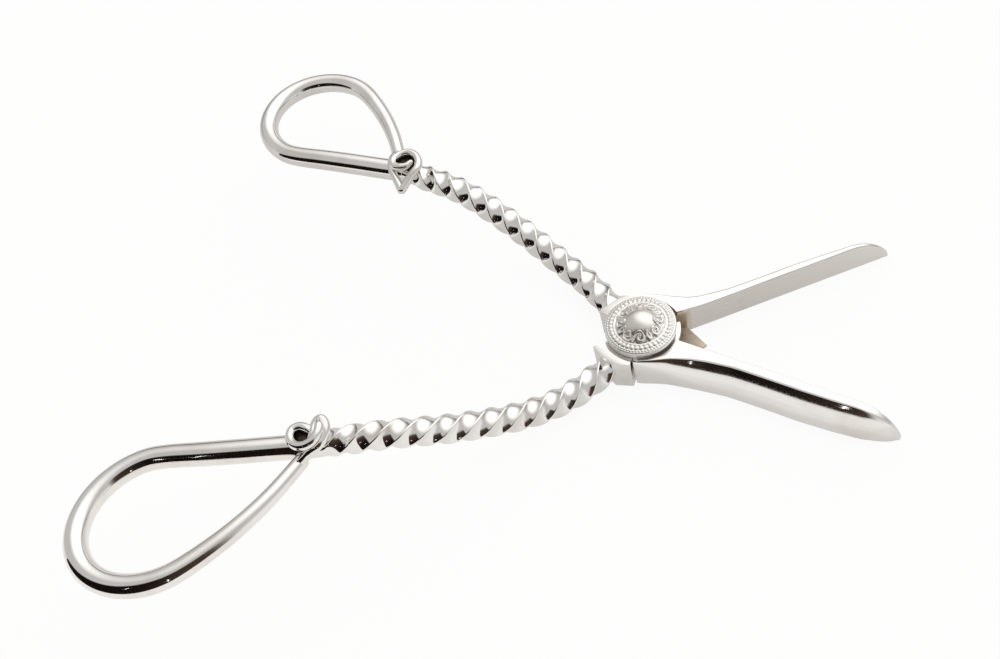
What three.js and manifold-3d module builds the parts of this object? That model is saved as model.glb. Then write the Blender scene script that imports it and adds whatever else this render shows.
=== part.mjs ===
// Silver grape shears: two crossing levers with twisted stems, held by one rosette screw.
// Millimetres, +Z up. The pivot axis is the Z axis and the underside of the joint lies on z = 0.
// +X points between the blades, +Y to the far handle. The shears are drawn open.
import * as THREE from 'three';
import { mergeVertices } from 'three/addons/utils/BufferGeometryUtils.js';
import Module from 'manifold-3d';

const wasm = await Module();
wasm.setup();

// Joint
const jointHeight = 7.6;        // blades, handle blocks and both lap plates together
const lapGap = 0.3;             // between the two lap plates and round them
const rosetteRadius = 7.2;
const plateRadius = rosetteRadius - 0.5;
const blockReach = 8.6;         // from the pivot axis to the side of a handle block
const blockInnerAngle = 26;     // degrees between a block's inner side and the middle line
const shoulderAngle = 96.5;     // where a block ends and the other lever's heel begins
const shoulderGap = 3.4;        // degrees, closes when the shears are opened to the stop
const openingAngle = 2;         // from the drawn pose until the shoulders meet
const heelLimit = 60;           // degrees past the middle line where a heel is cut off
const trimReach = 30;           // long enough to cut away everything on one side of a heel
const crotchRadius = 8.2;       // heel of the upper lever between the blades
const crotchAngles = [-25, 17];
const crotchRoom = 1;           // from that heel to the hollow it turns into

// Pivot screw, nut and rosette
const screwRadius = 2;
const fitClearance = 0.3;
const nutRadius = 3.6;
const nutHeight = 1.5;
const rosetteEdge = 2.1;        // height of the edge of the rosette
const rosetteFoot = 0.8;        // height of the narrower foot under the edge
const domeRadius = 3.3;
const domeHeight = 1.8;
const beadCount = 36;
const beadRadius = 0.48;

// Blades. The far blade belongs to the near handle and the near blade to the far handle.
const heelThickness = 8.3;
const bladeTipLength = 9;       // the top edge runs down to the tip over this length
const farBlade = { side: 1, angle: 27.9, length: 54.3, thickness: 3.85, faceOffset: 1.1 };
const nearBlade = { side: -1, angle: 20, length: 51.8, thickness: 4.75, faceOffset: 0.65 };
const closingAngle = farBlade.angle + nearBlade.angle;   // from the drawn pose until the blades meet

// Stems: a square bar twisted along a bowed line that climbs from the joint to the knot.
// The points are for the near handle, the far handle is its mirror image.
const stemPoints = [
  [-6.5, -7.5, jointHeight / 2],
  [-13, -14.2, jointHeight / 2],
  [-19.6, -19.1, 4.9],
  [-31.8, -26.4, 10.1],
  [-43.9, -31.8, 15.1],
  [-56, -35.8, 16.8],
];
const barWidth = 4.65;          // across the flats of the square bar
const barCorner = 0.55;         // radius of its rounded edges
const nearTwist = { turns: 3.3, start: 0 };   // start: radians, where the first edge begins
const farTwist = { turns: 3.15, start: Math.PI / 4 };
const twistSteps = 84;

// Finger loops: a round rod bent round a circle, with two arms that run to the knot. The inner arm
// carries on from the stem, the outer arm is tapered and ends beside the knot. Bent by hand, so the
// two differ a little. The values are for the near side and are mirrored for the far side.
const rodRadius = 2.4;
const rodEndRadius = 1.5;
const loopStartGap = 0.65;      // from the end of the stem to the start of the rod
const loops = {
  near: {
    centre: [-83.5, -54.9],
    radius: 12.9,
    drawnOut: 0.12,
    bows: [0.1, -1.5],
    topHeight: 20.4,
    end: [-58.4, -40.8],
  },
  far: {
    centre: [-84.5, -54],
    radius: 13.05,
    drawnOut: 0.18,
    bows: [0.15, -0.6],
    topHeight: 18.2,
    end: [-61, -42],
  },
};

// Tendrils: a wire that starts beside the end of the outer arm, goes over the stem, turns back in a
// hairpin and curls into a ring. Each point is measured along the stem toward the pivot, inward from
// the stem and up from its centre line. On the near side the ring has a wire of its own.
const wireRadius = 0.75;
const tendrils = {
  near: [
    [
      [-2.4, -3, 1.8],
      [-1.2, -3.1, 2.7],
      [0.95, -2.8, 3.9],
      [2.6, -1.45, 4.3],
      [3.4, -0.05, 4.8],
      [3.15, 1.65, 5.2],
      [2.15, 2.65, 5.4],
      [0.95, 2.35, 5.2],
      [0.2, 1.15, 5],
      [0.1, -0.5, 4.9],
      [-0.5, -1.8, 4.7],
    ],
    [
      [2.5, 0.9, 6.3],
      [2.5, -0.25, 6.3],
      [1.85, -1.7, 6.2],
      [0.55, -2.85, 5.9],
      [-0.9, -3.25, 5.6],
      [-2.35, -2.9, 5.3],
      [-3.65, -1.85, 5.1],
      [-4.3, -0.2, 5],
      [-3.8, 1.3, 5],
      [-2.4, 1.7, 5],
      [-1, 1, 5],
      [-0.1, 0, 4.9],
    ],
  ],
  far: [
    [
      [-6.1, -3.4, 1.6],
      [-4.6, -1.6, 3.5],
      [-3.6, 0.6, 3.9],
      [-2.6, 2.6, 3.6],
      [-1.2, 4.6, 3.3],
      [1, 6.9, 3],
      [2.6, 7.9, 3],
      [3.6, 7.3, 3.4],
      [3.8, 5.4, 4],
      [4, 3.45, 4.6],
      [4.3, 2, 4.95],
      [3.55, 0.25, 5],
      [1.5, -1.45, 5],
      [-0.65, -1.65, 5],
      [-2.15, -0.35, 5],
      [-2.65, 1.5, 5],
      [-1.6, 2.85, 5],
      [0.15, 3.05, 5.1],
      [1.55, 2.35, 5.3],
      [2.15, 1.2, 5.5],
    ],
  ],
};

const silver = { color: 0xd9d5cf, roughness: 0.16, metalness: 1 };
const steel = { color: 0xb9b4ad, roughness: 0.35, metalness: 1 };

const root = new THREE.Group();
root.name = 'grape_shears';

function addMesh(name, geometry, look) {
  const mesh = new THREE.Mesh(geometry, new THREE.MeshStandardMaterial(look));
  mesh.name = name;
  root.add(mesh);
}

function polar(radius, degrees) {
  const angle = THREE.MathUtils.degToRad(degrees);
  return [radius * Math.cos(angle), radius * Math.sin(angle)];
}

// Turns the faces outward when a mirrored shape has turned them inward
function faceOut(geometry) {
  const place = geometry.getAttribute('position');
  const index = geometry.getIndex();
  const a = new THREE.Vector3();
  const b = new THREE.Vector3();
  const c = new THREE.Vector3();
  let volume = 0;
  for (let i = 0; i < index.count; i += 3) {
    a.fromBufferAttribute(place, index.getX(i));
    b.fromBufferAttribute(place, index.getX(i + 1));
    c.fromBufferAttribute(place, index.getX(i + 2));
    volume += a.dot(b.cross(c));
  }
  if (volume < 0) {
    for (let i = 0; i < index.count; i += 3) {
      const second = index.getX(i + 1);
      index.setX(i + 1, index.getX(i + 2));
      index.setX(i + 2, second);
    }
  }
  geometry.computeVertexNormals();
  return geometry;
}

// Closed skin over a row of rings that all have the same number of points
function skin(rings) {
  const count = rings[0].length;
  const points = rings.flat();
  const faces = [];
  for (let i = 0; i + 1 < rings.length; i++) {
    for (let j = 0; j < count; j++) {
      const next = (j + 1) % count;
      const a = i * count + j;
      const b = i * count + next;
      faces.push(a, b, b + count, a, b + count, a + count);
    }
  }
  for (const [ring, flip] of [[0, true], [rings.length - 1, false]]) {
    const middle = new THREE.Vector3();
    rings[ring].forEach((point) => middle.addScaledVector(point, 1 / count));
    points.push(middle);
    for (let j = 0; j < count; j++) {
      const a = ring * count + j;
      const b = ring * count + (j + 1) % count;
      faces.push(points.length - 1, flip ? b : a, flip ? a : b);
    }
  }
  const geometry = new THREE.BufferGeometry().setFromPoints(points);
  geometry.setIndex(faces);
  return faceOut(geometry);
}

// Round rod along a row of points, with a radius at each point
function rod(points, radii, sides) {
  const normal = new THREE.Vector3(0, 0, 1);
  const rings = points.map((point, i) => {
    const before = points[Math.max(i - 1, 0)];
    const after = points[Math.min(i + 1, points.length - 1)];
    const tangent = after.clone().sub(before).normalize();
    normal.addScaledVector(tangent, -normal.dot(tangent)).normalize();
    const across = tangent.clone().cross(normal);
    return Array.from({ length: sides }, (_, j) => {
      const angle = (2 * Math.PI * j) / sides;
      return point.clone()
        .addScaledVector(normal, radii[i] * Math.cos(angle))
        .addScaledVector(across, radii[i] * Math.sin(angle));
    });
  });
  return skin(rings);
}

function toSolid(geometry) {
  const plain = geometry.clone();
  plain.deleteAttribute('normal');
  plain.deleteAttribute('uv');
  const merged = mergeVertices(plain, 1e-4);
  const index = merged.getIndex().array;
  const faces = [];
  for (let i = 0; i < index.length; i += 3) {
    const [a, b, c] = index.slice(i, i + 3);
    if (a !== b && b !== c && c !== a) faces.push(a, b, c);
  }
  return new wasm.Manifold(new wasm.Mesh({
    numProp: 3,
    vertProperties: new Float32Array(merged.getAttribute('position').array),
    triVerts: new Uint32Array(faces),
  }));
}

function toGeometry(solid) {
  const mesh = solid.getMesh();
  const geometry = new THREE.BufferGeometry();
  geometry.setAttribute('position', new THREE.BufferAttribute(mesh.vertProperties, 3));
  geometry.setIndex(new THREE.BufferAttribute(mesh.triVerts, 1));
  geometry.computeVertexNormals();
  return geometry;
}

function prism(corners, low, high) {
  const shape = new THREE.Shape(corners.map(([x, y]) => new THREE.Vector2(x, y)));
  const geometry = new THREE.ExtrudeGeometry(shape, { depth: high - low, bevelEnabled: false });
  return toSolid(geometry.translate(0, 0, low));
}

function disc(radius, low, high) {
  const corners = Array.from({ length: 48 }, (_, i) => polar(radius, i * 7.5));
  return prism(corners, low, high);
}

function sector(radius, from, to, low, high) {
  const corners = [[0, 0]];
  for (let i = 0; i <= 12; i++) corners.push(polar(radius, from + ((to - from) * i) / 12));
  return prism(corners, low, high);
}

// Value of a row of [position, value] steps, joined by straight lines
function along(steps, position) {
  const last = steps[steps.length - 1];
  if (position >= last[0]) return last[1];
  let i = 1;
  while (steps[i][0] < position) i++;
  const part = (position - steps[i - 1][0]) / (steps[i][0] - steps[i - 1][0]);
  return THREE.MathUtils.lerp(steps[i - 1][1], steps[i][1], part);
}

// A blade: flat inner face, rounded back, pointed end with the top edge running down to it
function blade({ side, angle, length, thickness, faceOffset }) {
  const thicknesses = [
    [0, heelThickness + 0.4],
    [2.5, heelThickness],
    [8, heelThickness * 0.8],
    [14, thickness + 0.9],
    [20, thickness + 0.1],
    [27, thickness - 0.3],
    [34, thickness],
    [length - 11, thickness - 0.5],
    [length - 6, thickness - 1.1],
    [length - 3, thickness - 2.1],
    [length - 1.2, thickness - 3],
    [length, 0.35],
  ];
  const heights = [
    [0, jointHeight],
    [length - bladeTipLength, jointHeight],
    [length - bladeTipLength * 0.66, jointHeight * 0.95],
    [length - bladeTipLength * 0.33, jointHeight * 0.77],
    [length - bladeTipLength * 0.13, jointHeight * 0.48],
    [length, 0.6],
  ];
  const rounding = [
    [0, 0.1],
    [3, 0.13],
    [5, 0.27],
    [7.5, 0.58],
    [9, 0.95],
    [11, 1.07],
    [14, 1.07],
    [17, 1],
    [length, 1],
  ];
  const stations = [0, 2.5, 5, 7.5, 9, 11, 14, 17, 20, 24, 28, 32, 36, 40];
  for (let i = 0; i <= 8; i++) stations.push(length - 11 + (11 * i) / 8);
  const direction = THREE.MathUtils.degToRad(side * angle);
  const rings = stations.map((s) => {
    const w = along(thicknesses, s);
    const h = along(heights, s);
    const k = Math.min(along(rounding, s), w / thickness, h / jointHeight);
    const outline = [
      [0, 0],
      [0, h],
      [w - 2.85 * k, h],
      [w - 2.45 * k, h - 0.45 * k],
      [w - 1.65 * k, h - 1.5 * k],
      [w - 0.95 * k, h - 2.6 * k],
      [w - 0.3 * k, h - 3.9 * k],
      [w, 0.34 * h],
      [w, 0.17 * h],
      [w - 0.35 * k, 0.06 * h],
      [w - 1.15 * k, 0],
    ];
    return outline.map(([t, z]) => {
      const across = side * t + faceOffset;
      return new THREE.Vector3(
        s * Math.cos(direction) - across * Math.sin(direction),
        s * Math.sin(direction) + across * Math.cos(direction),
        z,
      );
    });
  });
  return toSolid(skin(rings));
}

const stemLine = new THREE.CatmullRomCurve3(
  stemPoints.map((point) => new THREE.Vector3(...point)), false, 'centripetal');
stemLine.arcLengthDivisions = 800;
const stemStart = stemLine.getTangentAt(0);

// A handle block, full height, with its end square to the stem
function block(side) {
  const [rootX, rootY] = stemPoints[0];
  const flat = Math.hypot(stemStart.x, stemStart.y);
  const alongX = stemStart.x / flat;
  const alongY = stemStart.y / flat;
  const endX = rootX - alongX * lapGap;
  const endY = rootY - alongY * lapGap;
  const inner = THREE.MathUtils.degToRad(180 + blockInnerAngle);
  const toInner = (endX * alongX + endY * alongY)
    / (Math.cos(inner) * alongX + Math.sin(inner) * alongY);
  const sideX = endX + ((-blockReach - endY) / alongX) * -alongY;
  const corners = [
    [0, 0],
    [toInner * Math.cos(inner), toInner * Math.sin(inner)],
    [sideX, -blockReach],
    polar(blockReach / Math.cos(THREE.MathUtils.degToRad(shoulderAngle + shoulderGap / 2 - 90)),
      -shoulderAngle - shoulderGap / 2),
  ];
  return prism(corners.map(([x, y]) => [x, -side * y]), 0, jointHeight);
}

const lapMiddle = jointHeight / 2;
const lowTop = lapMiddle - lapGap / 2;
const highBottom = lapMiddle + lapGap / 2;
const bore = disc(screwRadius + fitClearance, -1, jointHeight + 1);

// The lower plate carries a thin lug that fills the crotch behind the blades
const lugHeight = 1.5;
const lugCorners = [[0, 0], [7.4, 6.3], [12.5, 1.85], [7, -3]];
const lugClearance = 0.5;

// Space round the pivot from one angle to another, over the full height
function roundPivot(from, to) {
  const half = (from + to) / 2;
  return sector(trimReach, from, half, -1, jointHeight + 1)
    .add(sector(trimReach, half, to, -1, jointHeight + 1));
}

function far() {
  const hollowEnd = crotchAngles[1] + closingAngle + openingAngle;
  return blade(farBlade)
    .subtract(roundPivot(shoulderAngle - shoulderGap / 2, 360 - heelLimit))
    .add(block(-1))
    .subtract(disc(plateRadius + lapGap, lowTop, jointHeight + 1))
    .subtract(sector(crotchRadius + crotchRoom, 0, hollowEnd, lowTop, jointHeight + 1))
    .add(disc(plateRadius, 0, lowTop))
    .add(prism(lugCorners, 0, lugHeight))
    .subtract(bore)
    .subtract(disc(nutRadius + fitClearance, -1, nutHeight + fitClearance));
}

function near() {
  const middle = [0, 1].map((axis) => lugCorners.reduce((sum, corner) => sum + corner[axis], 0) / 4);
  const lugRoom = lugCorners.map(([x, y]) => {
    const away = Math.hypot(x - middle[0], y - middle[1]);
    const grow = (away + lugClearance) / away;
    return [middle[0] + (x - middle[0]) * grow, middle[1] + (y - middle[1]) * grow];
  });
  let heel = blade(nearBlade)
    .subtract(roundPivot(heelLimit, 360 - shoulderAngle + shoulderGap / 2))
    .add(block(1))
    .subtract(disc(plateRadius + lapGap, -1, highBottom));
  for (let i = 0; i <= 32; i++) {
    const turn = openingAngle - ((closingAngle + openingAngle) * i) / 32;
    heel = heel.subtract(prism(lugRoom, -1, lugHeight + lapGap).rotate([0, 0, turn]));
  }
  return heel
    .add(disc(plateRadius, highBottom, jointHeight))
    .add(sector(crotchRadius, ...crotchAngles, highBottom, jointHeight))
    .subtract(bore);
}

// Everything on a handle is drawn for the near side and mirrored for the far side
function onSide(geometry, side) {
  return faceOut(geometry.scale(1, -side, 1));
}

// The twisted bar, square to its line at both ends; the far one has the opposite hand
function stem(side) {
  const twist = side < 0 ? nearTwist : farTwist;
  const edgeMiddle = (barWidth / 2 - barCorner) * Math.SQRT2;
  const section = [];
  for (const edge of [0, 90, 180, 270]) {
    for (const lean of [-45, 0, 45]) {
      const [x, y] = polar(edgeMiddle, edge);
      const [round, aside] = polar(barCorner, edge + lean);
      section.push([x + round, y + aside]);
    }
  }
  const rings = Array.from({ length: twistSteps + 1 }, (_, i) => {
    const part = i / twistSteps;
    const tangent = stemLine.getTangentAt(part);
    const level = new THREE.Vector3(0, 0, 1).addScaledVector(tangent, -tangent.z).normalize();
    const across = tangent.clone().cross(level);
    const angle = twist.start - 2 * Math.PI * twist.turns * part;
    return section.map(([x, y]) => stemLine.getPointAt(part)
      .addScaledVector(level, x * Math.cos(angle) - y * Math.sin(angle))
      .addScaledVector(across, x * Math.sin(angle) + y * Math.cos(angle)));
  });
  return onSide(skin(rings), side);
}

// Middle line of a loop: bowed inner arm, arc drawn out at its far end, bowed outer arm
function loopLine({ centre, radius, drawnOut, bows, topHeight, end: [endX, endY] }) {
  const knot = stemLine.getPointAt(1);
  const start = knot.clone().addScaledVector(stemLine.getTangentAt(1), loopStartGap).setZ(0);
  const end = new THREE.Vector3(endX, endY, 0);
  const middle = new THREE.Vector3(...centre, 0);
  const axis = middle.clone().sub(start).normalize();
  const toStart = start.clone().sub(middle);
  const toEnd = end.clone().sub(middle);
  // each end of the arc is turned by the slope of the bowed arm there, so that the two meet in line
  const leanIn = 4 * bows[0] / Math.sqrt(toStart.lengthSq() - radius ** 2);
  const leanOut = 4 * bows[1] / Math.sqrt(toEnd.lengthSq() - radius ** 2);
  const first = Math.atan2(toStart.y, toStart.x) + Math.acos(radius / toStart.length()) - leanIn;
  const around = 2 * Math.PI - Math.acos(radius / toEnd.length()) + leanOut;
  const last = Math.atan2(toEnd.y, toEnd.x) + around;
  const arc = [];
  for (let i = 0; i <= 14; i++) {
    const angle = THREE.MathUtils.lerp(first, last, i / 14);
    const reach = new THREE.Vector3(radius * Math.cos(angle), radius * Math.sin(angle), 0);
    arc.push(middle.clone().add(reach).addScaledVector(axis, drawnOut * Math.max(reach.dot(axis), 0)));
  }
  const bowed = (from, to, bow) => [0.25, 0.5, 0.75].map((part) => {
    const across = to.clone().sub(from).normalize().cross(new THREE.Vector3(0, 0, -1));
    return from.clone().lerp(to, part).addScaledVector(across, 4 * bow * part * (1 - part));
  });
  const points = [
    start,
    ...bowed(start, arc[0], bows[0]),
    ...arc,
    ...bowed(arc[14], end, bows[1]),
    end,
  ];
  const reach = Math.min(...points.map((point) => point.x));
  for (const point of points) {
    const part = (start.x - point.x) / (start.x - reach);
    point.z = THREE.MathUtils.lerp(knot.z, topHeight, part);
  }
  return new THREE.CatmullRomCurve3(points, false, 'centripetal');
}

function loop(side) {
  const steps = 56;
  const points = loopLine(side < 0 ? loops.near : loops.far).getSpacedPoints(steps);
  const taper = [[0, rodRadius], [0.64, rodRadius], [1, rodEndRadius]];
  const radii = points.map((_, i) => along(taper, i / steps));
  return onSide(rod(points, radii, 10), side);
}

function tendril(side) {
  const knot = new THREE.Vector3(...stemPoints[stemPoints.length - 1]);
  const tangent = stemLine.getTangentAt(1).negate();
  const forward = new THREE.Vector3(tangent.x, tangent.y, 0).normalize();
  const inward = new THREE.Vector3(-forward.y, forward.x, 0);
  let solid = null;
  for (const wire of side < 0 ? tendrils.near : tendrils.far) {
    const line = new THREE.CatmullRomCurve3(wire.map(([u, v, w]) => knot.clone()
      .addScaledVector(forward, u)
      .addScaledVector(inward, v)
      .add(new THREE.Vector3(0, 0, w))), false, 'centripetal');
    const points = line.getSpacedPoints(2 * wire.length + 14);
    const piece = toSolid(rod(points, points.map(() => wireRadius), 7));
    solid = solid ? solid.add(piece) : piece;
  }
  return onSide(toGeometry(solid), side);
}

function rosette() {
  const low = jointHeight + lapGap;
  const rim = low + rosetteEdge;
  const domeBase = rim + 0.8;
  const profile = [
    [0, low],
    [rosetteRadius - 0.5, low],
    [rosetteRadius - 0.4, low + rosetteFoot],
    [rosetteRadius, low + rosetteFoot + 0.25],
    [rosetteRadius, rim],
    [rosetteRadius - 0.35, rim + 0.15],
    [rosetteRadius - 0.6, rim + 0.1],
    [rosetteRadius - 1.7, rim + 0.55],
    [rosetteRadius - 1.9, rim + 0.85],
    [rosetteRadius - 2.2, rim + 0.9],
    [rosetteRadius - 2.4, rim + 0.7],
    [domeRadius + 0.15, domeBase],
  ];
  for (let i = 0; i <= 5; i++) {
    const angle = (Math.PI / 2) * (i / 5);
    profile.push([i === 5 ? 0 : domeRadius * Math.cos(angle), domeBase + domeHeight * Math.sin(angle)]);
  }
  const points = profile.map(([x, z]) => new THREE.Vector2(x, z));
  let solid = toSolid(new THREE.LatheGeometry(points, 48).rotateX(Math.PI / 2));
  const bead = toSolid(new THREE.SphereGeometry(beadRadius, 6, 4));
  for (let i = 0; i < beadCount; i++) {
    const [x, y] = polar(rosetteRadius - 1.15, (360 * i) / beadCount);
    solid = solid.add(bead.translate([x, y, rim + 0.35]));
  }
  return solid;
}

function screw() {
  const length = jointHeight - nutHeight - 2 * fitClearance;
  const geometry = new THREE.CylinderGeometry(screwRadius, screwRadius, length, 32);
  return geometry.rotateX(Math.PI / 2).translate(0, 0, nutHeight + fitClearance + length / 2);
}

function nut() {
  const geometry = new THREE.CylinderGeometry(nutRadius, nutRadius, nutHeight, 32);
  return geometry.rotateX(Math.PI / 2).translate(0, 0, nutHeight / 2);
}

addMesh('far_blade', toGeometry(far()), silver);
addMesh('near_stem', stem(-1), silver);
addMesh('near_loop', loop(-1), silver);
addMesh('near_tendril', tendril(-1), silver);

addMesh('near_blade', toGeometry(near()), silver);
addMesh('far_stem', stem(1), silver);
addMesh('far_loop', loop(1), silver);
addMesh('far_tendril', tendril(1), silver);

addMesh('rosette', toGeometry(rosette()), silver);
addMesh('pivot_screw', screw(), steel);
addMesh('pivot_nut', nut(), steel);

export default root;
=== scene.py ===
import math

import bpy
from mathutils import Matrix
import numpy as np


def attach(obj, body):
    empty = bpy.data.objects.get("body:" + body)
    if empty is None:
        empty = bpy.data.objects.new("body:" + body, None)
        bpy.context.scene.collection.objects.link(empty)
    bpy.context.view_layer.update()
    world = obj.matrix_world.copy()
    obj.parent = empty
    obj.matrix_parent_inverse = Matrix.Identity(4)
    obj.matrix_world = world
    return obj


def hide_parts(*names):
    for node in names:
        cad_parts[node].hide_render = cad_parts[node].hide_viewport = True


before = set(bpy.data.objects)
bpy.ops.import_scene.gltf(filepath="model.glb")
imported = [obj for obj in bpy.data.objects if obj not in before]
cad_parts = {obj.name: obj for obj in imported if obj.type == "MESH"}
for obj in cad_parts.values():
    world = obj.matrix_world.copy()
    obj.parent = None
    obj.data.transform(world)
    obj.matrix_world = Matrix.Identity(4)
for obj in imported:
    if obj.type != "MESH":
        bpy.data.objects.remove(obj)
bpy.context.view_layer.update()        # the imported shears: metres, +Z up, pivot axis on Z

mm = 0.001               # every shape below is worked out in millimetres

# small tools

def report(stage):
    print("grape shears:", stage)


def linear(hexText):
    # sRGB hex to the linear colour that a shader socket takes
    part = np.array([int(hexText[i:i + 2], 16) for i in (1, 3, 5)]) / 255
    value = np.where(part <= 0.04045, part / 12.92, ((part + 0.055) / 1.055) ** 2.4)
    return (*value.tolist(), 1.0)


def addNode(tree, kind, settings=None, links=None):
    # settings: socket values by name or number, a ramp's stops, a range's four ends (from, from, to, to)
    # or the node's own properties; links: socket to source, where a node stands for its first output in use
    node = tree.nodes.new("ShaderNode" + kind)
    for name, value in (settings or {}).items():
        if isinstance(name, int) or name in node.inputs:
            node.inputs[name].default_value = value
        elif name == "ramp":
            for stop, (at, colour) in zip(node.color_ramp.elements, value):
                stop.position = at
                stop.color = linear(colour)
        elif name == "range":
            for socket, end in zip(("From Min", "From Max", "To Min", "To Max"), value):
                node.inputs[socket].default_value = end
        else:
            setattr(node, name, value)
    for name, source in (links or {}).items():
        if isinstance(source, bpy.types.Node):
            source = next(socket for socket in source.outputs if socket.enabled)
        tree.links.new(source, node.inputs[name])
    return node


def newMaterial(name):
    material = bpy.data.materials.new(name)
    material.use_nodes = True
    material.node_tree.nodes.clear()
    return material, material.node_tree


def unit(vectors):
    # the same directions with length 1
    return vectors / np.linalg.norm(vectors, axis=-1, keepdims=True)


def ramp(value, start, end):
    # 0 at the start, 1 at the end, straight between them and level beyond
    return np.clip((value - start) / (end - start), 0, 1)


def mound(distance, half):
    # parabola of height 1 that comes down to 0 at the half width
    return np.clip(1 - (distance / half) ** 2, 0, 1)


def polar(radius, degrees):
    # plan points at a radius and at angles from +X
    angle = np.radians(degrees)
    return np.stack([radius * np.cos(angle), radius * np.sin(angle)], -1)


def curveThrough(points, perSpan, power):
    # Catmull-Rom curve through points on the last axis but one, timed by a power of their distances;
    # it stops one step before the last point
    first, last = points[..., :1, :], points[..., -1:, :]
    p = np.concatenate([2 * first - points[..., 1:2, :], points, 2 * last - points[..., -2:-1, :]], -2)
    move = np.diff(p, axis=-2)
    step = np.linalg.norm(move, axis=-1, keepdims=True) ** power
    slope = move / step
    before, after = step[..., :-1, :], step[..., 1:, :]
    lean = (slope[..., :-1, :] * after + slope[..., 1:, :] * before) / (before + after)
    ends = (p[..., 1:-2, :], p[..., 2:-1, :], lean[..., :-1, :], lean[..., 1:, :], step[..., 1:-1, :])
    start, end, leave, arrive, span = (part[..., None, :] for part in ends)
    t = np.linspace(0, 1, perSpan, endpoint=False)[:, None]
    curve = (2 * t**3 - 3 * t**2 + 1) * start + (t**3 - 2 * t**2 + t) * span * leave
    curve = curve + (3 * t**2 - 2 * t**3) * end + (t**3 - t**2) * span * arrive
    return curve.reshape(*points.shape[:-2], -1, points.shape[-1])


def evenCurve(points, count):
    # centripetal curve through the points, then sampled at even steps of its length
    p = np.asarray(points, float)
    fine = np.vstack([curveThrough(p, perSpan=40, power=0.5), p[-1]])
    far = np.concatenate([[0], np.cumsum(np.linalg.norm(np.diff(fine, axis=0), axis=1))])
    at = np.linspace(0, far[-1], count)
    return np.stack([np.interp(at, far, axis) for axis in fine.T], axis=1), far[-1]


def crossAxes(along):
    # upward and sideways directions square to each direction of a line
    up = unit(np.array([0, 0, 1.0]) - along * along[:, 2:])
    return up, np.cross(along, up)


def softInterp(at, steps, width, taps=15, taper=0.95):
    # straight steps between [position, value] pairs, averaged over the given width
    steps = np.asarray(steps, float)
    shift = np.linspace(-1, 1, taps)
    weight = 1 + np.cos(np.pi * shift * taper)
    table = [np.interp(at + s * width / 2, steps[:, 0], steps[:, 1]) for s in shift]
    return np.tensordot(weight / weight.sum(), np.array(table), axes=1)


def meshPiece(name, points, faces):
    # closed mesh from points in mm; turned inside out if its volume comes out negative
    mesh = bpy.data.meshes.new(name)
    mesh.from_pydata((np.asarray(points) * mm).tolist(), [], faces)
    mesh.update()
    mesh.calc_loop_triangles()
    corner = np.empty(len(mesh.loop_triangles) * 3, np.int64)
    mesh.loop_triangles.foreach_get("vertices", corner)
    a, b, c = np.asarray(points)[corner].reshape(-1, 3, 3).transpose(1, 0, 2)
    if np.sum(a * np.cross(b, c)) < 0:
        mesh.flip_normals()
    mesh.shade_smooth()
    piece = bpy.data.objects.new(name, mesh)
    bpy.context.scene.collection.objects.link(piece)
    return piece


def ringsPiece(name, rings):
    # skin over a (rows, columns, 3) grid whose columns close on themselves; a pole closes each end
    rows, columns = rings.shape[:2]
    around = np.arange(columns)
    after = (around + 1) % columns
    low = np.arange(rows - 1)[:, None] * columns
    high = low + columns
    quads = np.stack([low + around, low + after, high + after, high + around], -1)
    firstPole, lastPole = rows * columns, rows * columns + 1
    first = np.stack([np.full(columns, firstPole), after, around], 1)
    top = (rows - 1) * columns
    last = np.stack([np.full(columns, lastPole), top + around, top + after], 1)
    points = np.vstack([rings.reshape(-1, 3), rings[0].mean(0), rings[-1].mean(0)])
    return meshPiece(name, points, quads.reshape(-1, 4).tolist() + first.tolist() + last.tolist())


def turnedRings(profile, columns):
    # a profile of (radius, height) rows turned about the pivot axis
    angle = np.linspace(0, 2 * np.pi, columns, endpoint=False)
    height = np.broadcast_to(profile[:, 1:], (len(profile), columns))
    return np.stack([profile[:, :1] * np.cos(angle), profile[:, :1] * np.sin(angle), height], -1)


def roundRod(name, line, radii, sides, capRings=7, capTurn=82):
    # circle carried along a line, with a half-round cap at each end
    tangent = unit(np.gradient(line, axis=0))
    lift = np.radians(np.linspace(capTurn, 0, capRings, endpoint=False))[:, None]
    startCap = line[0] - tangent[0] * radii[0] * np.sin(lift)
    endCap = line[-1] + tangent[-1] * radii[-1] * np.sin(lift[::-1])
    centre = np.vstack([startCap, line, endCap])
    radius = np.concatenate([radii[0] * np.cos(lift[:, 0]), radii, radii[-1] * np.cos(lift[::-1, 0])])
    along = np.vstack([np.repeat(tangent[:1], capRings, 0), tangent, np.repeat(tangent[-1:], capRings, 0)])
    up, across = crossAxes(along)
    turn = np.linspace(0, 2 * np.pi, sides, endpoint=False)[None, :, None]
    rings = up[:, None] * np.cos(turn) + across[:, None] * np.sin(turn)
    return ringsPiece(name, centre[:, None] + rings * radius[:, None, None])


def prism(name, corners, low, high):
    # upright prism over a plan outline; the top may have a height of its own at each corner
    corners = np.asarray(corners, float)
    count = len(corners)
    points = np.vstack([np.c_[corners, np.full(count, low)], np.c_[corners, np.broadcast_to(high, count)]])
    around = np.arange(count)
    after = (around + 1) % count
    sides = np.stack([around, after, count + after, count + around], 1).tolist()
    return meshPiece(name, points, sides + [around[::-1].tolist(), (count + around).tolist()])


def disc(name, radius, low, high, sides=128):
    # upright round about the pivot axis
    return prism(name, polar(radius, np.linspace(0, 360, sides, endpoint=False)), low, high)


def sector(name, radius, start, end, low, high, points=13):
    # upright slice of a round about the pivot axis, between two angles
    return prism(name, np.vstack([[0, 0], polar(radius, np.linspace(start, end, points))]), low, high)


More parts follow.
